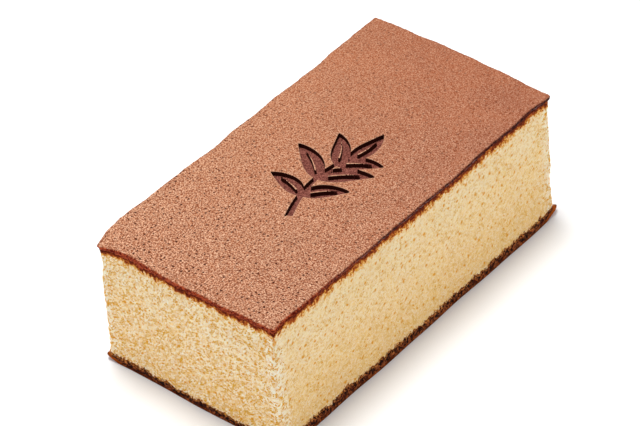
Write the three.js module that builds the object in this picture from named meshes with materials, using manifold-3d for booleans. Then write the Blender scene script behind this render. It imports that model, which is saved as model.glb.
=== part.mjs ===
// Castella sponge cake: one rectangular bar of sponge, cut square from a larger bake,
// with a sprig of leaves pressed into its top crust by a hot iron.
// Millimetres, +Z up. X runs along the bar, Y across it, and the origin is the middle of the foot.

import * as THREE from 'three';
import { mergeVertices } from 'three/addons/utils/BufferGeometryUtils.js';
import Module from 'manifold-3d';

const { degToRad, smoothstep } = THREE.MathUtils;

// ---- Driving dimensions of the bar --------------------------------------------------------

const LENGTH = 180; // top crust, corner to corner along X
const WIDTH = 94.4; // top crust, corner to corner along Y
const HEIGHT = 66.7; // foot to the corners of the top crust
const TOP_CRUST = 2;

const LONG_SAG = 1.2; // the top dips this much half-way along the bar
const CROSS_SAG = 0.8; // and this much half-way across it
const END_BULGE = 2; // the two cut ends swell this much in the middle of the top edge
const OVERHANG = 0.8; // the top crust stands out this much over the crumb just below it
const FOOT_FLARE = 1.7; // the bar spreads this much at the foot
const CORNER_PULL = 0.45; // the upright corners are rounded back this much
const CORNER_LIFT = 1.2; // the bottom crust curls this far off the board at its corners
const RIM_DROP = 0.5; // the rim of the top crust is rubbed down this much
const RIPPLE = 0.3; // the knife's path wavers this much either way

const CORNER_SHARPNESS = 24; // powers that keep the rounding close to the corners, rim and foot
const RIM_SHARPNESS = 40;
const FLARE_SHARPNESS = 4;

const CELLS = { long: 36, wide: 20, high: 16 };

// ---- Driving dimensions of the pressed sprig ----------------------------------------------

const PRESS_DEPTH = 2.2; // how deep the hot iron sank
const PRESS_HEADROOM = 4; // the cutters reach this far above the top
const SPRIG_CENTRE = new THREE.Vector2(-1.5, -1.5);
const SPRIG_TURN = degToRad(-47);

const STEM_FOOT = new THREE.Vector2(-17, -26);
const STEM_KNEE = new THREE.Vector2(-9, -2);
const STEM_HEAD = new THREE.Vector2(9, 7);
const STEM_WIDTH = 3.2; // at the foot; the head is half as wide

const LEAF_PAIRS = 3;
const FIRST_PAIR = 0.28; // place of the lowest pair, as a share of the stem
const PAIR_SPACING = 0.28;
const LEAF_SPREAD = degToRad(64); // angle of the lowest leaves to the stem
const SPREAD_STEP = degToRad(8); // each higher pair leans in by this much
const END_LEAF_TURN = degToRad(14);
const LEAF_LENGTH = 24; // the middle pair; every other leaf is shorter
const LENGTH_STEP = 4;
const LEAF_WIDTH = 8.6;
const LEAF_BEND = 0.16; // sideways bow of a leaf, as a share of its length
const LEAF_TIP = 0.1; // half-width left at both ends of a leaf
const RIB_WIDTH = 1.0; // the raised rib along each leaf
const RIB_SPAN = [0.2, 0.75];
const BLADE_STEPS = 12;

// ---- The bar ------------------------------------------------------------------------------

// Cell edges gather towards both ends of a -1..1 range, where the rounded rims need them.
const gather = (s) => Math.sin((s * Math.PI) / 2);

// A slow waver along a cut, from -1 to 1, different for each phase.
const waver = (s, phase) => 0.6 * Math.sin(3.7 * s + phase) + 0.4 * Math.sin(8.3 * s + 2.3 * phase);

// How far the crumb stands in from the rim of the top crust: most just below it, then less and less.
function crumbInset(t) {
  const below = (1 - t) * HEIGHT;
  const stepIn = smoothstep(below, TOP_CRUST, 2 * TOP_CRUST);
  const backOut = smoothstep(below, 2 * TOP_CRUST, 12 * TOP_CRUST);
  return OVERHANG * stepIn * (1 - backOut);
}

// Maps u and v in -1..1 (along and across) and t in 0..1 (foot to top) to a point of the bar.
function barPoint(u, v, t) {
  const corner = (u * v) ** CORNER_SHARPNESS;
  const rim = Math.max(Math.abs(u), Math.abs(v)) ** RIM_SHARPNESS;
  const spread = FOOT_FLARE * (1 - t) ** FLARE_SHARPNESS - crumbInset(t) - CORNER_PULL * corner;
  const bulge = END_BULGE * (1 - v * v) * t;

  const halfLength = LENGTH / 2 + spread + bulge + RIPPLE * waver(v + 2 * t, 1);
  const halfWidth = WIDTH / 2 + spread + RIPPLE * waver(2 * u + t, 3);
  const top = HEIGHT - LONG_SAG * (1 - u * u) - CROSS_SAG * (1 - v * v) - RIM_DROP * rim;
  const lift = CORNER_LIFT * corner * (1 - t);

  return new THREE.Vector3(u * halfLength, v * halfWidth, t * top + lift);
}

function barGeometry() {
  const geometry = new THREE.BoxGeometry(2, 2, 2, CELLS.long, CELLS.wide, CELLS.high);
  const position = geometry.attributes.position;
  for (let i = 0; i < position.count; i++) {
    const u = gather(position.getX(i));
    const v = gather(position.getY(i));
    const t = (1 + gather(position.getZ(i))) / 2;
    const point = barPoint(u, v, t);
    position.setXYZ(i, point.x, point.y, point.z);
  }
  return geometry;
}

// ---- The pressed sprig --------------------------------------------------------------------

// A flat blade along a curve: its outline runs up the right of the curve and back down the left.
function blade(curve, halfWidth, from = 0, to = 1) {
  const right = [];
  const left = [];
  for (let i = 0; i <= BLADE_STEPS; i++) {
    const s = from + ((to - from) * i) / BLADE_STEPS;
    const centre = curve.getPoint(s);
    const tangent = curve.getTangent(s);
    const side = new THREE.Vector2(tangent.y, -tangent.x).multiplyScalar(halfWidth(s));
    right.push(centre.clone().add(side));
    left.unshift(centre.clone().sub(side));
  }
  return new THREE.Shape([...right, ...left]);
}

// A leaf swells quickly from its base and narrows slowly to its tip; its rib is left standing.
function leafShape(base, angle, length, bendSide) {
  const along = new THREE.Vector2(Math.cos(angle), Math.sin(angle));
  const across = new THREE.Vector2(-along.y, along.x);
  const tip = base.clone().addScaledVector(along, length);
  const middle = base.clone().lerp(tip, 0.5).addScaledVector(across, bendSide * LEAF_BEND * length);
  const spine = new THREE.QuadraticBezierCurve(base, middle, tip);
  const belly = (LEAF_WIDTH / 2) * Math.sqrt(length / LEAF_LENGTH);
  const leaf = blade(spine, (s) => LEAF_TIP + belly * Math.sin(Math.PI * s ** 0.75) ** 0.8);
  leaf.holes.push(blade(spine, (s) => (RIB_WIDTH / 2) * (1 - s), ...RIB_SPAN));
  return leaf;
}

function sprigShapes() {
  const stem = new THREE.QuadraticBezierCurve(STEM_FOOT, STEM_KNEE, STEM_HEAD);
  const shapes = [blade(stem, (s) => (STEM_WIDTH / 2) * (1 - s / 2))];
  for (let pair = 0; pair < LEAF_PAIRS; pair++) {
    const s = FIRST_PAIR + PAIR_SPACING * pair;
    const base = stem.getPoint(s);
    const heading = stem.getTangent(s).angle();
    const spread = LEAF_SPREAD - SPREAD_STEP * pair;
    const length = LEAF_LENGTH - LENGTH_STEP * Math.abs(pair - 1);
    shapes.push(leafShape(base, heading + spread, length, -1));
    shapes.push(leafShape(base, heading - spread, length, 1));
  }
  const endAngle = stem.getTangent(1).angle() + END_LEAF_TURN;
  shapes.push(leafShape(stem.getPoint(1), endAngle, LEAF_LENGTH - LENGTH_STEP, -1));
  return shapes;
}

function pressGeometry(shape) {
  const geometry = new THREE.ExtrudeGeometry(shape, { depth: PRESS_DEPTH + PRESS_HEADROOM, bevelEnabled: false });
  const floor = HEIGHT - LONG_SAG - CROSS_SAG - PRESS_DEPTH;
  return geometry.rotateZ(SPRIG_TURN).translate(SPRIG_CENTRE.x, SPRIG_CENTRE.y, floor);
}

// ---- Cutting ------------------------------------------------------------------------------

const wasm = await Module();
wasm.setup();

function toSolid(geometry) {
  geometry.deleteAttribute('normal');
  geometry.deleteAttribute('uv');
  const merged = mergeVertices(geometry);
  const vertProperties = new Float32Array(merged.attributes.position.array);
  const triVerts = new Uint32Array(merged.index.array);
  return new wasm.Manifold(new wasm.Mesh({ numProp: 3, vertProperties, triVerts }));
}

function toGeometry(solid) {
  const mesh = solid.getMesh();
  const geometry = new THREE.BufferGeometry();
  geometry.setAttribute('position', new THREE.BufferAttribute(new Float32Array(mesh.vertProperties), 3));
  geometry.setIndex(new THREE.BufferAttribute(new Uint32Array(mesh.triVerts), 1));
  geometry.computeVertexNormals();
  return geometry;
}

// The wavering cuts shift the middle of the bar a little, so it is centred again over the origin.
function centreOnFoot(geometry) {
  geometry.computeBoundingBox();
  const { min, max } = geometry.boundingBox;
  return geometry.translate(-(min.x + max.x) / 2, -(min.y + max.y) / 2, -min.z);
}

const bar = toSolid(barGeometry());
const cutters = sprigShapes().map((shape) => toSolid(pressGeometry(shape)));
const pressed = cutters.reduce((solid, cutter) => solid.subtract(cutter), bar);

const spongeMaterial = new THREE.MeshStandardMaterial({ color: 0xe3c48f, roughness: 0.9, metalness: 0 });
const castella = new THREE.Mesh(centreOnFoot(toGeometry(pressed)), spongeMaterial);
castella.name = 'castella';

const cake = new THREE.Group();
cake.add(castella);

export default cake;
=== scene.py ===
import math

import bpy
import numpy as np
from mathutils import Matrix, Vector, noise


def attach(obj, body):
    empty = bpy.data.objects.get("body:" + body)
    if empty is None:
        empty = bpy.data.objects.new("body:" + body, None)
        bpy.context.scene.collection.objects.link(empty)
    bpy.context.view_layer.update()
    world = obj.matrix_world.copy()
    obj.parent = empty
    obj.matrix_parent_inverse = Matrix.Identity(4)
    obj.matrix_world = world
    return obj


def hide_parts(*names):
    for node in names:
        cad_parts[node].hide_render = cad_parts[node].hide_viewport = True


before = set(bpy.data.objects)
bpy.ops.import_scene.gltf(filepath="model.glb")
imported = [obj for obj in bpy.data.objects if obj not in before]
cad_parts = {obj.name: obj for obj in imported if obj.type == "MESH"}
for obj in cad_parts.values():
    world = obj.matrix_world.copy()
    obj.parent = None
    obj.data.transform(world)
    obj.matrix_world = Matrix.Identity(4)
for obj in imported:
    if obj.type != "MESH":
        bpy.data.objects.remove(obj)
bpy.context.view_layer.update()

# ---- The sponge ---------------------------------------------------------------------------
# Egg and honey sponge, baked in a frame and cut on all four sides with a long knife. It is open
# and springy, stands back a little under the top crust, spreads at the foot, and is torn along
# its upright edges.

MM = 0.001  # lengths are in millimetres until a mesh is made
half_long, half_wide, full_high = 90.0, 47.2, 66.7
long_sag, cross_sag = 1.2, 0.8  # the top dips this much half-way along and half-way across
end_bulge = 2.0  # the cut ends swell this much in the middle
overhang = 0.8  # the crumb stands back this much under the top crust
overhang_starts, overhang_full, overhang_ends = 2.0, 4.0, 24.0  # depths below the top
foot_flare, flare_power = 1.7, 4
knife_waver = 0.3
corner_radius = 1.6

# How far each top corner is drawn out along the bar, out across it, and down.
corner_pulls = {(-1, 1): (3.4, -2.0, 1.3), (1, -1): (1.6, 0.0, 1.4), (-1, -1): (0.8, 1.0, 0.7)}
pull_reach_along, pull_reach_across = 4.5, 10.0
pull_below = 0.35  # the share of a pull that goes on down the upright edge
pull_starts, pull_full = 0.75, 0.98  # shares of the height between which the rest comes in
corner_lift, lift_reach = 2.5, 8.0

crust_on_ends, crust_on_sides = 3.1, 1.9
foot_on_ends, foot_on_sides, thinnest_foot = 3.4, 4.2, 1.6
cap_depth, cap_over_foot = 3.2, 1.5
torn_core, torn_reach = 1.5, 7.0  # how far from an upright edge the cut is torn
pore_spacing, pore_width, pore_depth = 2.2, 0.85, 0.25
nibble_share, nibble_drop = 0.5, 4.0  # what the crumb keeps of the rim's nibbles, and how far down
crumb_cell = 0.6
map_scale = 1 / 200.0  # millimetres to the flat map, which is one unit wide


def ease(x, low, high):
    s = np.clip((x - low) / (high - low), 0, 1)
    return s * s * (3 - 2 * s)


def waver(s, phase):
    return 0.6 * np.sin(3.7 * s + phase) + 0.4 * np.sin(8.3 * s + 2.3 * phase)


def lumps(points, *layers):
    """Smooth random relief, in layers that each have a height, a size across and a seed."""
    relief = np.zeros(len(points))
    for height, size, seed in layers:
        shift = Vector((17.3 * seed, 5.1 * seed, 9.7 * seed))
        relief += [height * noise.noise(Vector(p) / size + shift) for p in points.tolist()]
    return relief


def pits(points, spacing, width, seed):
    """Round pits, 1 in the middle and 0 outside, of uneven width and set at random."""
    shift = Vector((3.7 * seed, 11.9 * seed, 7.3 * seed))
    found = np.zeros(len(points))
    for i, p in enumerate(points.tolist()):
        away, middles = noise.voronoi(Vector(p) / spacing + shift)
        own_width = width * (0.4 + 0.6 * abs(noise.cell(middles[0] * 31.7)))
        found[i] = max(0.0, 1 - away[0] * spacing / own_width)
    return found


def at_height(flat, z):
    """Points of a plan, lifted to z."""
    return np.column_stack([flat, np.broadcast_to(z, len(flat))])


def from_corner(x, y):
    """How far a point of the plan is from the nearest corner of the bar."""
    return np.hypot(half_long - abs(x), half_wide - abs(y))


def corner_pull(x, y):
    """How far the bar is drawn out along it, out across it, and down, near its corners."""
    pulled = np.zeros((3, *np.shape(x)))
    for (sign_x, sign_y), amounts in corner_pulls.items():
        along = (sign_x * half_long - x) / pull_reach_along
        across = (sign_y * half_wide - y) / pull_reach_across
        pulled += np.multiply.outer(amounts, np.exp(-(along**2) - across**2))
    return pulled


def top_height(x, y):
    u, v = x / half_long, y / half_wide
    return full_high - long_sag * (1 - u * u) - cross_sag * (1 - v * v) - corner_pull(x, y)[2]


def lift(x, y):
    """How far the bottom crust curls up off the table: only at the bar's corners."""
    return corner_lift * (1 - ease(from_corner(x, y), 0, lift_reach))


def lay_out(x, y, z):
    """Moves points of a true rectangle to where the uneven bar has them at height z."""
    u, v, t = x / half_long, y / half_wide, z / full_high
    pull_share = pull_below + (1 - pull_below) * ease(t, pull_starts, pull_full)
    out_along, out_across, _ = corner_pull(x, y) * pull_share
    along = end_bulge * (1 - v * v) * t + knife_waver * waver(v + 2 * t, 1) + out_along
    across = knife_waver * waver(2 * u + t, 3) + out_across
    return x + u * along, y + v * across


def side_spread(z):
    """How far a cut side stands out past the top crust's outline at height z."""
    below = full_high - z
    step_in = ease(below, overhang_starts, overhang_full)
    back_out = ease(below, overhang_full, overhang_ends)
    return foot_flare * (1 - z / full_high) ** flare_power - overhang * step_in * (1 - back_out)


def by_side(on_ends, on_sides, facing_y):
    """A measure that goes over from the ends to the long sides as the cut turns to face them."""
    return on_ends + (on_sides - on_ends) * facing_y**2


def nibbles(points):
    """How far the torn rim of the top crust stands out or in, seen from above."""
    return lumps(points, (0.2, 1.3, 31), (0.25, 4, 32), (0.6, 13, 33))


def crust_line(points, facing_y):
    """Height of the ragged line where the crumb meets the top crust."""
    thickness = by_side(crust_on_ends, crust_on_sides, facing_y)
    ragged = lumps(points, (1.1, 1.0, 1), (1.0, 3.5, 2), (0.6, 11, 3)) / 3
    return top_height(points[:, 0], points[:, 1]) - thickness * (1 - ragged)


def foot_line(points, facing_y):
    """Height of the ragged line where the crumb meets the bottom crust."""
    thickness = by_side(foot_on_ends, foot_on_sides, facing_y)
    ragged = lumps(points, (1.1, 1.1, 3), (1.1, 4.5, 4), (0.9, 14, 5))
    lowest = thinnest_foot + 0.8 * lift(points[:, 0], points[:, 1])
    return np.maximum(thickness + ragged, lowest)


class Body:
    """A closed mesh in the making: its corners, its faces, and each face's place on the flat map."""

    def __init__(self):
        self.points, self.faces, self.places, self.count = [], [], [], 0

    def corners(self, points):
        self.points.append(points)
        first, self.count = self.count, self.count + len(points)
        return np.arange(first, self.count)

    def sheet(self, grid, place, flip=False):
        """Quads over a grid of corners; place is the grid of their spots on the map."""
        turn = [(0, 0), (0, 1), (1, 1), (1, 0)]
        rows, columns = grid.shape[0] - 1, grid.shape[1] - 1
        for store, source in ((self.faces, grid), (self.places, place)):
            parts = [source[r : r + rows, c : c + columns] for r, c in (turn[::-1] if flip else turn)]
            stacked = np.stack(parts, axis=2)
            store.extend(stacked.reshape(rows * columns, *stacked.shape[2:]).tolist())

    def wrap(self, rings, lengths, sides, rows_up, starts):
        """Quads round the bar between rings of corners, each side laid on the map at its own start."""
        for (first, last), (across, up) in zip(sides, starts):
            columns = np.arange(first, last + 1)
            run = (lengths[columns] - lengths[first]) * map_scale
            place = np.stack(np.broadcast_arrays(across + run, up + rows_up[:, None] * map_scale), axis=2)
            self.sheet(rings[:, columns % rings.shape[1]], place)

    def cap(self, ring, height, place, flip=False):
        """Triangles from a closed ring of corners to one point in the middle of the bar."""
        middle = self.corners(np.array([[0, 0, height]]))[0]
        after, place_after = np.roll(ring, -1), np.roll(place, -1, 0)
        order = (after, ring) if flip else (ring, after)
        spots = (place_after, place) if flip else (place, place_after)
        centre = np.broadcast_to(place.mean(0), place.shape)
        self.faces.extend(np.stack([*order, np.full_like(ring, middle)], 1).tolist())
        self.places.extend(np.stack([*spots, centre], 1).tolist())

    def build(self, name, marks):
        """Makes the object, in metres; marks are named values at its first corners, 0 at the rest."""
        points = np.concatenate(self.points) * MM
        mesh = bpy.data.meshes.new(name)
        mesh.from_pydata(points.tolist(), [], self.faces)
        flat_map = mesh.uv_layers.new(name="OFBake")
        spots = np.array([spot for face in self.places for spot in face], np.float32)
        flat_map.data.foreach_set("uv", spots.ravel())
        for mark, values in marks.items():
            at_corners = np.zeros(self.count, np.float32)
            at_corners[: len(values)] = values
            mesh.attributes.new(mark, "FLOAT", "POINT").data.foreach_set("value", at_corners)
        mesh.shade_smooth()
        piece = bpy.data.objects.new(name, mesh)
        bpy.context.scene.collection.objects.link(piece)
        return piece


# The outline starts in the middle of a corner and runs anticlockwise, seen from above. It turns a
# quarter round the inner point of each corner, and then runs straight to the next.
quarter = math.pi / 2
inner_long, inner_wide = half_long - corner_radius, half_wide - corner_radius
arc = quarter * corner_radius
stretches = [arc, 2 * inner_long, arc, 2 * inner_wide] * 2 + [arc]
stations = np.cumsum([-arc / 2, *stretches])
around = 4 * (arc + inner_long + inner_wide)
columns = round(around / crumb_cell)
run = np.linspace(0, around, columns, endpoint=False)
turned = np.interp(run, stations, quarter * np.array([-2, -1, -1, 0, 0, 1, 1, 2, 2, 3]))
turn_x = np.interp(run, stations, inner_long * np.array([-1, -1, 1, 1, 1, 1, -1, -1, -1, -1]))
turn_y = np.interp(run, stations, inner_wide * np.array([-1, -1, -1, -1, 1, 1, 1, 1, -1, -1]))
face_x, face_y = np.cos(turned), np.sin(turned)
plan = np.stack([turn_x + corner_radius * face_x, turn_y + corner_radius * face_y], 1)
side_ends = np.round((stations[::2] + arc / 2) / around * columns).astype(int)

outline = at_height(plan, 0)
low_edge, high_edge = foot_line(outline, face_y), crust_line(outline, face_y)
crumb_high = high_edge - low_edge
rows = round(crumb_high.mean() / crumb_cell) + 1
share = np.linspace(0, 1, rows)[:, None]
wall = at_height(np.tile(plan, (rows, 1)), (low_edge + share * crumb_high).ravel())
out_x, out_y = np.tile(face_x, rows), np.tile(face_y, rows)
under_crust, above_foot = (1 - share) * crumb_high, share * crumb_high

# Relief of the cut crumb: soft waves, small fluff and open pores, coarser on the ends and along
# the torn upright edges, and following the torn rim of the crust just below it.
wall_x, wall_y, wall_z = wall.T
torn = 1 - ease(from_corner(wall_x, wall_y), torn_core, torn_reach)
coarse = 0.6 + 0.6 * out_x**2 + 0.7 * torn
pores = pits(wall, pore_spacing, pore_width, 1)
relief = lumps(wall, (0.3, 12, 6)) + coarse * lumps(wall, (0.12, 3.2, 7), (0.12, 1.2, 8))
relief += torn * lumps(wall, (0.35, 1.9, 9)) - pore_depth * coarse * pores
relief += nibble_share * (nibbles(outline) * (1 - ease(under_crust, 0, nibble_drop))).ravel()
x, y = lay_out(wall_x, wall_y, wall_z)
spread = side_spread(wall_z) + relief

sponge_body = Body()
wall_corners = sponge_body.corners(np.stack([x + out_x * spread, y + out_y * spread, wall_z], 1))
rings = wall_corners.reshape(rows, columns)
lengths = np.arange(columns + 1) * around / columns
sides = list(zip(side_ends[:-1], side_ends[1:]))
rows_up = np.linspace(0, crumb_high.mean(), rows)
left, middle = 0.005, 0.5
low_row, middle_row, high_row = 0.005, 1 / 3, 2 / 3
starts = [(left, low_row), (left, high_row), (left, middle_row), (middle, high_row)]
sponge_body.wrap(rings, lengths, sides, rows_up, starts)
cap_map = plan * map_scale * 0.1 + (0.95, 0.1)
crust_floor = top_height(0, 0) - crust_on_ends - cap_depth
foot_roof = foot_on_ends + cap_over_foot
sponge_body.cap(rings[-1], crust_floor, cap_map)
sponge_body.cap(rings[0], foot_roof, cap_map + (0, 0.2), flip=True)

browned_on_ends, browned_on_sides = 2.4, 3.5
browned = by_side(browned_on_ends, browned_on_sides, face_y)
sponge = sponge_body.build(
    "sponge",
    {
        "pore": pores,
        "coarse": coarse,
        "torn": torn,
        "below_crust": (under_crust / browned).ravel(),
        "above_foot": above_foot.ravel(),
    },
)


class Shade:
    """A value or colour inside a material; an expression on it adds the Math nodes that work it out."""

    def __init__(self, recipe, socket):
        self.recipe, self.socket = recipe, socket

    def maths(self, operation, first, second):
        return self.recipe.node("Math", {"operation": operation}, {0: first, 1: second})

    def __add__(self, other):
        return self.maths("ADD", self, other)

    def __sub__(self, other):
        return self.maths("SUBTRACT", self, other)

    def __rsub__(self, other):
        return self.maths("SUBTRACT", other, self)

    def __mul__(self, other):
        return self.maths("MULTIPLY", self, other)

    __radd__ = __add__
    __rmul__ = __mul__


class Recipe:
    """A material in the making, mixed out of shader nodes."""

    def __init__(self, name):
        self.material = bpy.data.materials.new(name)
        self.material.use_nodes = True
        self.tree = self.material.node_tree
        self.tree.nodes.clear()

    def node(self, kind, settings, sockets, output=None):
        made = self.tree.nodes.new("ShaderNode" + kind)
        for name, value in settings.items():
            setattr(made, name, value)
        for key, value in sockets.items():
            into = made.inputs[key] if isinstance(key, int) else self.find(made.inputs, key)
            if isinstance(value, Shade):
                self.tree.links.new(value.socket, into)
            else:
                into.default_value = value
        return Shade(self, self.find(made.outputs, output))

    @staticmethod
    def find(sockets, name):
        return next((s for s in sockets if s.enabled and name in (None, s.name)), None)

    def mark(self, name):
        """A named value of the mesh's corners."""
        return self.node("Attribute", {"attribute_name": name}, {}, "Fac")

    def millimetres(self):
        """Where a point of the bar is, in millimetres along its own axes."""
        place = self.node("TexCoord", {}, {}, "Object")
        return self.node("VectorMath", {"operation": "SCALE"}, {0: place, "Scale": 1 / MM})

    def laid_flat(self, lean=0.0, stretch=1.0):
        """Where a point is on the flat map, in millimetres, with what is drawn there leaning and long."""
        place = self.node("UVMap", {"uv_map": "OFBake"}, {})
        cosine, sine = math.cos(lean) / map_scale, math.sin(lean) / map_scale
        rows = ((cosine / stretch, sine / stretch, 0), (-sine, cosine, 0))
        dot = {"operation": "DOT_PRODUCT"}
        along, up = (self.node("VectorMath", dot, {0: place, 1: row}, "Value") for row in rows)
        return self.node("CombineXYZ", {}, {"X": along, "Y": up})

    def warped(self, place, size, amount):
        """Places pushed about at random, so that what is laid on them loses its even shapes."""
        push = self.noise(place, size, 1, output="Color")
        push = self.node("VectorMath", {"operation": "SUBTRACT"}, {0: push, 1: (0.5, 0.5, 0.5)})
        push = self.node("VectorMath", {"operation": "SCALE"}, {0: push, "Scale": amount})
        return self.node("VectorMath", {"operation": "ADD"}, {0: place, 1: push})

    def noise(self, place, size, detail=2.0, rough=0.55, output="Fac"):
        values = {"Vector": place, "Scale": 1 / size, "Detail": detail, "Roughness": rough}
        return self.node("TexNoise", {"normalize": True}, values, output)

    def cells(self, feature, place, spacing, output="Distance"):
        settings = {"feature": feature, "voronoi_dimensions": "2D"}
        return self.node("TexVoronoi", settings, {"Vector": place, "Scale": 1 / spacing}, output)

    def grains(self, place, spacing):
        """Packed grains: how far from a grain's middle, and two chance values that it keeps all over."""
        away = self.cells("F1", place, spacing)
        picked = self.cells("F1", place, spacing, "Color")
        parts = (self.node("SeparateColor", {}, {"Color": picked}, name) for name in ("Red", "Green"))
        first, second = parts
        return away, first, second

    def foam(self, place, spacing):
        """Open cells of a foam: 0 on the walls between them, up to 1 inside the deepest."""
        wall = self.cells("DISTANCE_TO_EDGE", place, spacing)
        _, depth, _ = self.grains(place, spacing)
        return self.between(wall, 0.0, 0.2) * self.between(depth, 0.3, 1.0)

    def dots(self, place, spacing, width, softness, share):
        """Scattered dots: spacing apart, width across, and only a share of the places filled."""
        away, chance, size = self.grains(place, spacing)
        edge = (size * 0.6 + 0.4) * (width / spacing)
        inside = self.between(away, edge, edge * (1 - softness))
        return inside * self.between(chance, share + 0.01, share)

    def between(self, value, low, high):
        """0 where value is low, 1 where it is high, and smooth between."""
        settings = {"interpolation_type": "SMOOTHSTEP"}
        return self.node("MapRange", settings, {"Value": value, "From Min": low, "From Max": high})

    def blend(self, amount, first, second):
        settings = {"data_type": "RGBA", "blend_type": "MIX"}
        return self.node("Mix", settings, {"Factor": amount, "A": first, "B": second})

    def raised(self, height, depth):
        """The way the surface faces once it is raised by depth, in metres, where height is 1."""
        return self.node("Bump", {}, {"Height": height, "Distance": depth, "Strength": 1.0})

    def finish(self, piece, sockets):
        """Makes the surface from what its sockets get, and lays the material on the piece."""
        surface = self.node("BsdfPrincipled", {}, sockets)
        self.node("OutputMaterial", {}, {"Surface": surface})
        piece.data.materials.append(self.material)


def colour(red, green, blue):
    """A colour as it looks on a screen, 0 to 255, turned into light."""
    parts = [c / 255 for c in (red, green, blue)]
    return tuple(c / 12.92 if c <= 0.04045 else ((c + 0.055) / 1.055) ** 2.4 for c in parts) + (1.0,)


pale_yolk, deep_yolk_and_shade, warm_yolk = colour(252, 222, 168), colour(243, 200, 128), colour(250, 206, 122)
torn_cream_and_highlight, grain_highlight_cream = colour(255, 240, 204), colour(255, 246, 230)
cell_shade_yellow, hole_shade_yellow = colour(224, 160, 10), colour(230, 162, 40)
speck_amber, pore_shade_amber = colour(228, 152, 20), colour(224, 160, 60)
fringe_gold, fringe_rust, fringe_brown = colour(238, 166, 62), colour(172, 80, 30), colour(98, 32, 12)
foot_tan, foot_brown = colour(212, 132, 64), colour(104, 40, 14)

mix = Recipe("sponge_crumb")
place = mix.millimetres()
coarse_mark = mix.mark("coarse")
fine = mix.noise(place, 0.9, 4, 0.7)
clumps = mix.noise(place, 2.6)
cloud = mix.noise(place, 16)
openness = mix.between(mix.noise(place, 6), 0.35, 0.65) * 0.7 + 0.65
cut_face = mix.warped(mix.laid_flat(math.radians(30), 1.25), 1.2, 0.35)
away, lightness, _ = mix.grains(cut_face, 0.56)
granules = mix.between(away, 0.8, 0.2) * lightness
small_cells = mix.foam(cut_face, 0.78)
wide_cells = mix.foam(cut_face, 2.3)
specks = mix.dots(cut_face, 3.2, 1.0, 0.6, 0.45)

# The crumb is palest high up and darker towards the foot, partly its own golden colour and partly painted
# shade; where torn it is lighter, partly a painted highlight. Its grain tops carry painted highlights,
# and its open cells and pits carry painted shade.
height = mix.mark("above_foot")
crumb = mix.blend(mix.between(height, 52, 0), pale_yolk, deep_yolk_and_shade)
crumb = mix.blend(mix.between(cloud, 0.35, 0.7) * 0.3, crumb, warm_yolk)
# Along the torn upright edges: whiter fluff with a painted highlight where the edges catch the light.
crumb = mix.blend(mix.mark("torn") * 0.65, crumb, torn_cream_and_highlight)
# Painted highlights on the tops of the grains.
crumb = mix.blend(granules * coarse_mark, crumb, grain_highlight_cream)
# Painted shade in the open cells of the foam.
crumb = mix.blend(small_cells * coarse_mark * openness, crumb, cell_shade_yellow)
crumb = mix.blend(wide_cells * coarse_mark * 0.25, crumb, hole_shade_yellow)
crumb = mix.blend(specks * 0.9, crumb, speck_amber)
# Painted shade in the pits carved into the cut face.
crumb = mix.blend(mix.between(mix.mark("pore"), 0.1, 0.9) * coarse_mark * 0.3, crumb, pore_shade_amber)

# It browns raggedly under the top crust and just over the foot.
depth = mix.mark("below_crust") + (fine - 0.5) * 2.6 + (clumps - 0.5) * 2.2 + 0.05
crumb = mix.blend(mix.between(depth, 1.5, 1.05), crumb, fringe_gold)
crumb = mix.blend(mix.between(depth, 1.15, 0.85), crumb, fringe_rust)
crumb = mix.blend(mix.between(depth, 0.75, 0.35), crumb, fringe_brown)
above = height + (fine - 0.5) * 4.0 + (lightness - 0.5) * 1.2
crumb = mix.blend(mix.between(above, 0.95, 0.65), crumb, foot_tan)
crumb = mix.blend(mix.between(above, 0.5, 0.3), crumb, foot_brown)
crumb_relief = fine * 0.6 + granules * 0.5 - small_cells * 0.3 - wide_cells * 0.2
mix.finish(
    sponge,
    {
        "Base Color": crumb,
        "Roughness": 0.85,
        "Specular IOR Level": 0.05,
        "Subsurface Weight": 0.2,
        "Subsurface Scale": 0.003,
        "Subsurface Radius": (1.0, 0.6, 0.3),
        "Normal": mix.raised(crumb_relief, 0.0003),
    },
)
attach(sponge, "root")
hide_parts("castella")

# ---- The top crust ------------------------------------------------------------------------
# The skin that browned under the oven's top heat: two millimetres of dense, fine-grained crust
# that is still joined to the crumb. A leaf sprig was pressed into it with a hot iron.

crust_cell, sprig_cell, rim_cell = 0.85, 0.3, 0.35
sprig_zone, rim_zone = 31.0, 2.0
rim_round, nibble_reach = 0.4, 3.0
press_depth, wall_run = 2.2, 0.16
lip_drop, lip_reach = 0.25, 0.9
far_off = 1e3
grid_map = (0.5, 0.26)  # where the middle of a crust lies on the flat map
cap_scale = 0.3 * map_scale

stem_foot, stem_knee, stem_head = (np.array(p, float) for p in ((-17, -26), (-9, -2), (9, 7)))
stem_width = 3.2
sprig_centre, sprig_turn = np.array([-1.5, -1.5]), math.radians(-47)
leaf_pairs, first_pair, pair_spacing = 3, 0.28, 0.28
leaf_spread, spread_step, end_leaf_turn = math.radians(64), math.radians(8), math.radians(14)
leaf_length, length_step, leaf_width, leaf_tip = 24.0, 4.0, 8.6, 0.1
leaf_bend, rib_width, rib_span = 0.16, 1.0, (0.2, 0.75)
blade_steps = 24


def grid_lines(half, size_at):
    """Places from -half to half, spaced as size_at says."""
    fine = np.linspace(-half, half, 6001)
    middle = (fine[1:] + fine[:-1]) / 2
    steps = np.concatenate([[0], np.cumsum(np.diff(fine) / size_at(middle, half))])
    return np.interp(np.linspace(0, steps[-1], int(steps[-1]) + 1), steps, fine)


def crust_spacing(at, half):
    size = np.where(abs(at) < sprig_zone, sprig_cell, crust_cell)
    return np.where(half - abs(at) < rim_zone, rim_cell, size)


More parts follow.
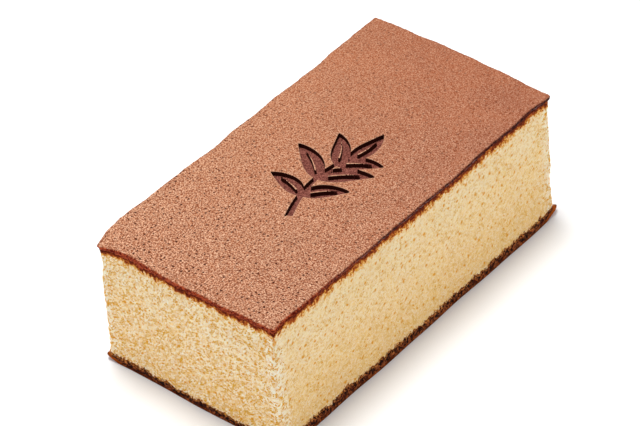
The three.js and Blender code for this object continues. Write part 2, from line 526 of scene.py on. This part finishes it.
def rounded(x, y):
    """Pulls the corners of nested rectangles round, and gives the way that each point faces."""
    edge = np.maximum(np.minimum(half_long - abs(x), half_wide - abs(y)), 0)
    reach = np.maximum(corner_radius, edge)
    inner_x = np.clip(x, reach - half_long, half_long - reach)
    inner_y = np.clip(y, reach - half_wide, half_wide - reach)
    dx, dy = x - inner_x, y - inner_y
    length = np.maximum(np.hypot(dx, dy), 1e-9)
    wanted = reach - edge
    return inner_x + dx / length * wanted, inner_y + dy / length * wanted, dx / length, dy / length


class Rim:
    """The outer edge of a crust's grid, anticlockwise from its lowest corner, with its skirt."""

    def __init__(self, grid, square_x, square_y):
        self.loop = np.concatenate([grid[0, :-1], grid[:-1, -1], grid[-1, :0:-1], grid[:0:-1, 0]])
        self.x, self.y, self.out_x, self.out_y = rounded(square_x[self.loop], square_y[self.loop])
        self.plan = np.stack([self.x, self.y], 1)
        self.rings = [self.loop]
        ends = np.cumsum([0, grid.shape[1] - 1, grid.shape[0] - 1, grid.shape[1] - 1, grid.shape[0] - 1])
        self.sides = list(zip(ends[:-1], ends[1:]))
        steps = np.linalg.norm(np.roll(self.plan, -1, 0) - self.plan, axis=1)
        self.lengths = np.concatenate([[0], np.cumsum(steps)])

    def add_ring(self, body, level, out, push_along=0.0):
        """A further ring of the skirt at its own height, standing out from the bar's outline."""
        x, y = lay_out(self.x, self.y, level)
        points = np.stack([x + push_along + self.out_x * out, y + self.out_y * out, level], 1)
        self.rings.append(body.corners(points))


def curve(points, s):
    """A point on a bent line through three guide points, and its direction there."""
    a, b, c = points
    s = np.asarray(s)[:, None]
    spot = (1 - s) ** 2 * a + 2 * s * (1 - s) * b + s**2 * c
    way = 2 * (1 - s) * (b - a) + 2 * s * (c - b)
    return spot, way / np.linalg.norm(way, axis=1)[:, None]


def blade(points, half_width, low=0.0, high=1.0):
    """The closed outline of a flat blade along a bent line."""
    s = np.linspace(low, high, blade_steps + 1)
    spot, way = curve(points, s)
    side = np.stack([way[:, 1], -way[:, 0]], 1) * half_width(s)[:, None]
    return np.concatenate([spot + side, (spot - side)[::-1]])


def leaf(base, angle, length, bend_side):
    """A leaf's outline and its rib's."""
    way = np.array([math.cos(angle), math.sin(angle)])
    tip = base + way * length
    middle = (base + tip) / 2 + np.array([-way[1], way[0]]) * bend_side * leaf_bend * length
    belly = leaf_width / 2 * math.sqrt(length / leaf_length)
    points = (base, middle, tip)
    edge = blade(points, lambda s: leaf_tip + belly * np.clip(np.sin(np.pi * s**0.75), 0, 1) ** 0.8)
    rib = blade(points, lambda s: rib_width / 2 * (1 - s), *rib_span)
    return edge, rib


def sprig_outlines():
    stem = (stem_foot, stem_knee, stem_head)
    shapes = [(blade(stem, lambda s: stem_width / 2 * (1 - s / 2)), None)]
    for pair in range(leaf_pairs):
        base, way = (part[0] for part in curve(stem, [first_pair + pair_spacing * pair]))
        heading = math.atan2(way[1], way[0])
        lean = leaf_spread - spread_step * pair
        length = leaf_length - length_step * abs(pair - 1)
        shapes += [leaf(base, heading + lean, length, -1), leaf(base, heading - lean, length, 1)]
    top, way = (part[0] for part in curve(stem, [1.0]))
    heading = math.atan2(way[1], way[0]) + end_leaf_turn
    return shapes + [leaf(top, heading, leaf_length - length_step, -1)]


def signed_distance(points, outline):
    """Distance of each point to a closed outline, negative inside."""
    after = np.roll(outline, -1, 0)
    step = after - outline
    from_start = points[:, None] - outline
    along = np.clip((from_start * step).sum(2) / (step**2).sum(1), 0, 1)
    away = np.linalg.norm(from_start - along[..., None] * step, axis=2).min(1)
    above = (outline[:, 1] > points[:, 1:2]) != (after[:, 1] > points[:, 1:2])
    rise = np.where(step[:, 1] == 0, 1e-9, step[:, 1])
    crossing = outline[:, 0] + (points[:, 1:2] - outline[:, 1]) * step[:, 0] / rise
    inside = ((above & (points[:, :1] < crossing)).sum(1) % 2).astype(bool)
    return np.where(inside, -away, away)


def sprig_distance(points):
    """Distance to the pressed sprig, negative in the hollows, in the bar's own axes."""
    cosine, sine = math.cos(-sprig_turn), math.sin(-sprig_turn)
    x, y = (points - sprig_centre).T
    own = np.stack([cosine * x - sine * y, sine * x + cosine * y], 1)
    nearest = np.full(len(points), far_off)
    for edge, rib in sprig_outlines():
        distance = signed_distance(own, edge)
        if rib is not None:
            distance = np.maximum(distance, -signed_distance(own, rib))
        nearest = np.minimum(nearest, distance)
    return nearest


def drawn_to(points, target):
    """Moves points until each lies its target distance from the sprig."""
    nudge, least_slope = 0.02, 0.3
    for _ in range(3):
        here = sprig_distance(points)
        beside = [sprig_distance(points + step) for step in ((nudge, 0), (0, nudge))]
        slope = (np.array(beside) - here).T / nudge
        steepness = np.maximum((slope**2).sum(1), least_slope)
        points = points + slope * ((target - here) / steepness)[:, None]
    return points


lines_x, lines_y = grid_lines(half_long, crust_spacing), grid_lines(half_wide, crust_spacing)
grid_shape = len(lines_y), len(lines_x)
grid_x, grid_y = (g.ravel() for g in np.meshgrid(lines_x, lines_y))
flat_x, flat_y, out_x, out_y = rounded(grid_x, grid_y)
top_plan = np.stack([flat_x, flat_y], 1)
from_rim = np.minimum(half_long - abs(grid_x), half_wide - abs(grid_y))
nibbled = nibbles(at_height(top_plan, full_high)) * (1 - ease(from_rim, 0, nibble_reach))

# The iron's edges are crisp, so the corners of the cells that an edge crosses are drawn onto it.
near_x = abs(lines_x - sprig_centre[0]) < sprig_zone
near_y = abs(lines_y - sprig_centre[1]) < sprig_zone
near = np.outer(near_y, near_x).ravel()
zone = top_plan[near]
distance = sprig_distance(zone)
inside = (distance < 0).reshape(near_y.sum(), -1)
cell_corners = [inside[:-1, :-1], inside[:-1, 1:], inside[1:, :-1], inside[1:, 1:]]
crossed = np.any(cell_corners, 0) & ~np.all(cell_corners, 0)
edged = np.zeros(inside.shape, bool)
for down, over in ((0, 0), (0, 1), (1, 0), (1, 1)):
    edged[down : down + crossed.shape[0], over : over + crossed.shape[1]] |= crossed
edged, inside = edged.ravel(), inside.ravel()
target = np.where(inside, -wall_run / 2, wall_run / 2)[edged]
zone[edged] = drawn_to(zone[edged], target)
distance[edged] = target
hollow = np.full(len(top_plan), far_off)
hollow[near] = np.where(inside, np.minimum(distance, -0.01), np.maximum(distance, 0.01))
top_plan[near] = zone

seat = at_height(top_plan, full_high)
rim_fall = rim_round - np.sqrt(rim_round**2 - np.clip(rim_round - from_rim, 0, rim_round) ** 2)
top_z = top_height(top_plan[:, 0], top_plan[:, 1]) - rim_fall
top_z += lumps(seat, (0.18, 16, 11), (0.05, 1.1, 12), (0.04, 0.6, 13))
floor_z = full_high - long_sag - cross_sag - press_depth + lumps(seat, (0.07, 0.9, 14))
pressed = hollow < 0
top_z = np.where(pressed, floor_z, top_z - lip_drop * (1 - ease(hollow, 0, lip_reach)))
x, y = lay_out(top_plan[:, 0], top_plan[:, 1], top_z)

crust_body = Body()
top_corners = crust_body.corners(np.stack([x + out_x * nibbled, y + out_y * nibbled, top_z], 1))
top_grid = top_corners.reshape(grid_shape)
top_place = np.stack([grid_x, grid_y], 1).reshape(*grid_shape, 2) * map_scale
crust_body.sheet(top_grid, top_place + grid_map)

rim = Rim(top_grid, grid_x, grid_y)
rim_top, rim_low = top_z[rim.loop], crust_line(at_height(rim.plan, 0), rim.out_y)
skirt_shares = np.array([0.25, 0.5, 0.75, 1.0])
for share in skirt_shares:
    level = rim_top + (rim_low - rim_top) * share
    rough = lumps(at_height(rim.plan, level), (0.45, 0.9, 15))
    rim.add_ring(crust_body, level, side_spread(level) + rough + nibbled[rim.loop] * (1 - 0.5 * share))
skirt = np.array(rim.rings[::-1])
skirt_up = np.linspace(0, crust_on_ends, len(skirt))
skirt_starts = [(0.02, 0.55 + 0.03 * side) for side in range(4)]
crust_body.wrap(skirt, rim.lengths, rim.sides, skirt_up, skirt_starts)
crust_body.cap(skirt[0], crust_floor, rim.plan * cap_scale + (0.5, 0.8), flip=True)

on_top = np.zeros(len(top_z))
skirt_rings = len(skirt_shares)
crust_top = crust_body.build(
    "top_crust",
    {
        "hollow": pressed,
        "lip": np.where(pressed, 0, 1 - ease(hollow, 0.1, 0.7)),
        "cut_side": np.append(ease(0.3 - from_rim, -0.2, 0.3), np.ones(crust_body.count - len(top_z))),
        "down": np.concatenate([on_top, np.repeat(skirt_shares, len(rim.loop)), [1]]),
        "long_side": np.abs(np.append(out_y, np.tile(rim.out_y, skirt_rings))),
    },
)

# The walls of the pressed sprig meet its floor and the top at crisp edges.
normals = np.zeros(len(crust_top.data.polygons) * 3)
crust_top.data.polygons.foreach_get("normal", normals)
upright = abs(normals.reshape(-1, 3)[:, 2]) < 0.6
upright[(len(lines_x) - 1) * (len(lines_y) - 1) :] = False
crust_top.data.polygons.foreach_set("use_smooth", ~upright)

painted_glare_tan, painted_dim_tan, cloud_tan = colour(182, 118, 82), colour(150, 84, 57), colour(178, 102, 64)
grain_light_and_glint, grain_dark, pinhole = colour(248, 202, 168), colour(104, 44, 22), colour(62, 18, 8)
burnt_dark, burnt_light, burnt_pit = colour(96, 44, 36), colour(160, 98, 84), colour(70, 28, 24)
painted_lip_highlight, painted_wall_shade = colour(232, 184, 152), colour(52, 14, 8)
end_dark, end_light = colour(96, 12, 0), colour(186, 80, 44)
side_dark, side_light, side_sheen = colour(26, 2, 6), colour(112, 46, 32), colour(128, 92, 88)

mix = Recipe("browned_crust")
place = mix.millimetres()
top_face = mix.laid_flat()
warped = mix.warped(top_face, 0.9, 0.25)
away, lightness, darkness = mix.grains(warped, 0.36)
pebble, _, _ = mix.grains(warped, 0.72)
fine = mix.noise(place, 0.7, 3, 0.7)
cloud = mix.noise(place, 18, 3)
holes = mix.dots(top_face, 2.3, 0.62, 0.3, 0.45)
along = mix.node("SeparateXYZ", {}, {"Vector": place}, "X")
across = mix.node("SeparateXYZ", {}, {"Vector": place}, "Y")

# Fine packed grains, strongest towards one end, with a scatter of pinholes; the crust is painted lighter
# towards one corner as a broad glare.
strength = mix.between(along, 120, -120) * 0.7 + 0.3
crust = mix.blend(mix.between(along * 0.8 - across, -100, 100), painted_glare_tan, painted_dim_tan)
crust = mix.blend(mix.between(cloud, 0.35, 0.65) * 0.3, crust, cloud_tan)
# The light grains are partly painted glints.
crust = mix.blend(mix.between(lightness, 0.4, 0.9) * strength * 0.65, crust, grain_light_and_glint)
crust = mix.blend(mix.between(pebble, 0.4, 0.1) * strength * 0.5, crust, grain_light_and_glint)
crust = mix.blend(mix.between(darkness, 0.45, 0.9) * strength * 0.6, crust, grain_dark)
crust = mix.blend(mix.between(pebble, 0.4, 0.75) * strength * 0.8, crust, grain_dark)
crust = mix.blend(holes * strength, crust, pinhole)

# The sprig: a pale lip that is a painted highlight, a burnt floor, and upright walls painted dark as
# shade.
cut = mix.mark("cut_side")
burnt = mix.blend(lightness, burnt_dark, burnt_light)
burnt = mix.blend(mix.between(darkness, 0.6, 1.0) * 0.8, burnt, burnt_pit)
facing = mix.node("SeparateXYZ", {}, {"Vector": mix.node("NewGeometry", {}, {}, "True Normal")}, "Z")
crust = mix.blend(mix.mark("lip") * 0.3, crust, painted_lip_highlight)
crust = mix.blend(mix.between(mix.mark("hollow"), 0.4, 0.6), crust, burnt)
# Painted shade on the upright walls of the sprig.
crust = mix.blend(mix.between(facing, 0.75, 0.35) * (1 - cut), crust, painted_wall_shade)

# The cut edge is dark, partly its caramelised colour and partly painted shade under the rim: red-brown on
# the ends, darker along the sides, where a painted dull sheen shows in places.
down = mix.mark("down")
rough_cut = mix.between(mix.noise(place, 1.2, 3, 0.8), 0.44, 0.56)
end_brown = mix.blend(rough_cut, end_dark, end_light)
side_brown = mix.blend(rough_cut, side_dark, side_light)
# A painted dull sheen along the middle of the cut edge on the sides.
sheen = mix.between(down, 0.25, 0.45) * mix.between(down, 0.8, 0.6) * mix.between(cloud, 0.45, 0.55)
side_brown = mix.blend(sheen, side_brown, side_sheen)
side_brown = mix.blend(mix.between(along, -85, -15), end_brown, side_brown)
crust = mix.blend(cut, crust, mix.blend(mix.mark("long_side"), end_brown, side_brown))
mix.finish(
    crust_top,
    {
        "Base Color": crust,
        "Roughness": 0.7,
        "Specular IOR Level": 0.05,
        "Normal": mix.raised(fine * 0.5 - away, 0.00018),
    },
)
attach(crust_top, "root")
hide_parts("castella")

# ---- The bottom crust ---------------------------------------------------------------------
# The syrupy brown skin that baked against the paper in the frame. It is thin and tough, ragged
# where it meets the crumb, and curls up a little at the corners of the bar.

foot_cell, foot_rim_cell, foot_rim_zone = 1.0, 0.5, 3.0
skin_out = 0.15  # the skin stands out this much past the crumb's foot
crease = 0.12
flap_out, flap_reach_along, flap_reach_across = 3.2, 5.0, 1.6
notch_in = 2.4


def foot_spacing(at, half):
    return np.where(half - abs(at) < foot_rim_zone, foot_rim_cell, foot_cell)


lines_x, lines_y = grid_lines(half_long, foot_spacing), grid_lines(half_wide, foot_spacing)
grid_shape = len(lines_y), len(lines_x)
grid_x, grid_y = (g.ravel() for g in np.meshgrid(lines_x, lines_y))
flat_x, flat_y, _, _ = rounded(grid_x, grid_y)
curled = from_corner(flat_x, flat_y) <= lift_reach * 1.5
creases = lumps(at_height(np.stack([flat_x, flat_y], 1), 0), (crease, 5, 21))
base_z = np.where(curled, lift(flat_x, flat_y) + crease + creases, np.maximum(creases, 0))
x, y = lay_out(flat_x, flat_y, 0)
widen = foot_flare + skin_out
x, y = x * (1 + widen / half_long), y * (1 + widen / half_wide)

foot_body = Body()
base_grid = foot_body.corners(np.stack([x, y, base_z], 1)).reshape(grid_shape)
base_place = np.stack([grid_x, grid_y], 1).reshape(*grid_shape, 2) * map_scale
foot_body.sheet(base_grid, base_place + grid_map, flip=True)

# A small torn flap sticks out at one end, with a notch in the skin above it.
rim = Rim(base_grid, grid_x, grid_y)
rim_base, rim_high = base_z[rim.loop], foot_line(at_height(rim.plan, 0), rim.out_y)
flap_along = ease(rim.x, half_long - flap_reach_along, half_long)
flap = flap_along * np.exp(-(((rim.y + half_wide) / flap_reach_across) ** 2))
rise_shares = np.array([0.1, 0.25, 0.4, 0.55, 0.7, 0.85, 1.0])
for share in rise_shares:
    level = rim_base + (rim_high - rim_base) * share
    rough = lumps(at_height(rim.plan, level), (0.3, 1.1, 22), (0.2, 3, 23))
    stands_out = flap_out * (1 - ease(share, 0.1, 0.3))
    cut_back = notch_in * ease(share, 0.2, 0.4) * (1 - ease(share, 0.8, 1))
    rim.add_ring(foot_body, level, side_spread(level) + rough, flap * (stands_out - cut_back))
skirt = np.array(rim.rings)
skirt_up = np.append(0, rise_shares) * foot_on_sides
skirt_starts = [(0.02, 0.55 + 0.05 * side) for side in range(4)]
foot_body.wrap(skirt, rim.lengths, rim.sides, skirt_up, skirt_starts)
foot_body.cap(skirt[-1], foot_roof, rim.plan * cap_scale + (0.5, 0.88))

under_side = np.zeros(len(base_z))
skirt_rings = len(rise_shares)
to_corner = np.append(from_corner(flat_x, flat_y), np.tile(from_corner(rim.x, rim.y), skirt_rings))
crust_foot = foot_body.build(
    "bottom_crust",
    {
        "rise": np.concatenate([under_side, np.repeat(rise_shares, len(rim.loop)), [1]]),
        "corner": 1 - ease(to_corner, 2, 9),
        "long_side": np.abs(np.append(under_side, np.tile(rim.out_y, skirt_rings))),
    },
)

syrup_dark, syrup_brown, ruddy_brown = colour(22, 0, 0), colour(84, 24, 4), colour(172, 92, 48)
crumb_tan, lit_lip_amber = colour(206, 128, 64), colour(176, 82, 12)

mix = Recipe("syrup_crust")
place = mix.millimetres()
grain = mix.noise(place, 1.1, 3, 0.7)
patches = mix.noise(place, 3.0, 3)
rise = mix.mark("rise")
brown = mix.blend(mix.between(grain, 0.46, 0.56), syrup_dark, syrup_brown)
ruddy = mix.between(patches + mix.mark("long_side") * 0.1, 0.48, 0.58) * mix.between(grain, 0.48, 0.56)
brown = mix.blend(ruddy * 0.85, brown, ruddy_brown)
brown = mix.blend(mix.between(rise + (grain - 0.5) * 2, 0.85, 1.05), brown, crumb_tan)
# Painted light on the lower lip of the skin, strongest near the curled corners.
lit_lip_light = mix.between(rise, 0.4, 0.15) * (mix.mark("corner") * 0.7 + 0.2)
brown = mix.blend(lit_lip_light, brown, lit_lip_amber)
mix.finish(
    crust_foot,
    {
        "Base Color": brown,
        "Roughness": 0.35,
        "Specular IOR Level": 0.03,
        "Normal": mix.raised(grain + patches, 0.0006),
    },
)
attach(crust_foot, "root")
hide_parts("castella")

# ---- The table, the lights and the camera -------------------------------------------------
# A plain white table top, one wide soft lamp high behind the bar, and white all round. The
# lengths here are in metres.

table = bpy.data.objects.new("table", bpy.data.meshes.new("table"))
reach = 3.0
table_corners = [(-reach, -reach, 0), (reach, -reach, 0), (reach, reach, 0), (-reach, reach, 0)]
table.data.from_pydata(table_corners, [], [(0, 1, 2, 3)])
bpy.context.scene.collection.objects.link(table)
mix = Recipe("white_table")
mix.finish(table, {"Base Color": (0.92, 0.92, 0.92, 1), "Roughness": 0.9, "Specular IOR Level": 0.1})

world = bpy.data.worlds.new("white_room")
world.use_nodes = True
world.node_tree.nodes["Background"].inputs["Color"].default_value = (0.95, 0.975, 1, 1)
world.node_tree.nodes["Background"].inputs["Strength"].default_value = 0.65
bpy.context.scene.world = world

lamp = bpy.data.objects.new("lamp", bpy.data.lights.new("lamp", "AREA"))
lamp.data.shape = "DISK"
lamp.data.size = 0.68
lamp.data.energy = 22
lamp_at = Vector((0.08, 0.27, 1.6))
lamp.matrix_world = Matrix.Translation(lamp_at) @ (-lamp_at).to_track_quat("-Z", "Y").to_matrix().to_4x4()
bpy.context.scene.collection.objects.link(lamp)

turn, climb, tilt = (math.radians(a) for a in (-47.286, 40.441, -4.543))
stand_off, slide, raise_by = 1.431, -0.00687, 0.03019
back = Vector((math.sin(turn) * math.cos(climb), -math.cos(turn) * math.cos(climb), math.sin(climb)))
level_right = Vector((math.cos(turn), math.sin(turn), 0))
level_up = back.cross(level_right)
right = math.cos(tilt) * level_right + math.sin(tilt) * level_up
up = -math.sin(tilt) * level_right + math.cos(tilt) * level_up
camera = bpy.data.objects.new("camera", bpy.data.cameras.new("camera"))
camera.data.lens = 188.45
camera.data.sensor_width = 36
camera.data.clip_end = 20
camera_at = back * stand_off + right * slide + up * raise_by
camera.matrix_world = Matrix.Translation(camera_at) @ Matrix((right, up, back)).transposed().to_4x4()
bpy.context.scene.collection.objects.link(camera)
bpy.context.scene.camera = camera
bpy.context.scene.view_settings.view_transform = "Standard"
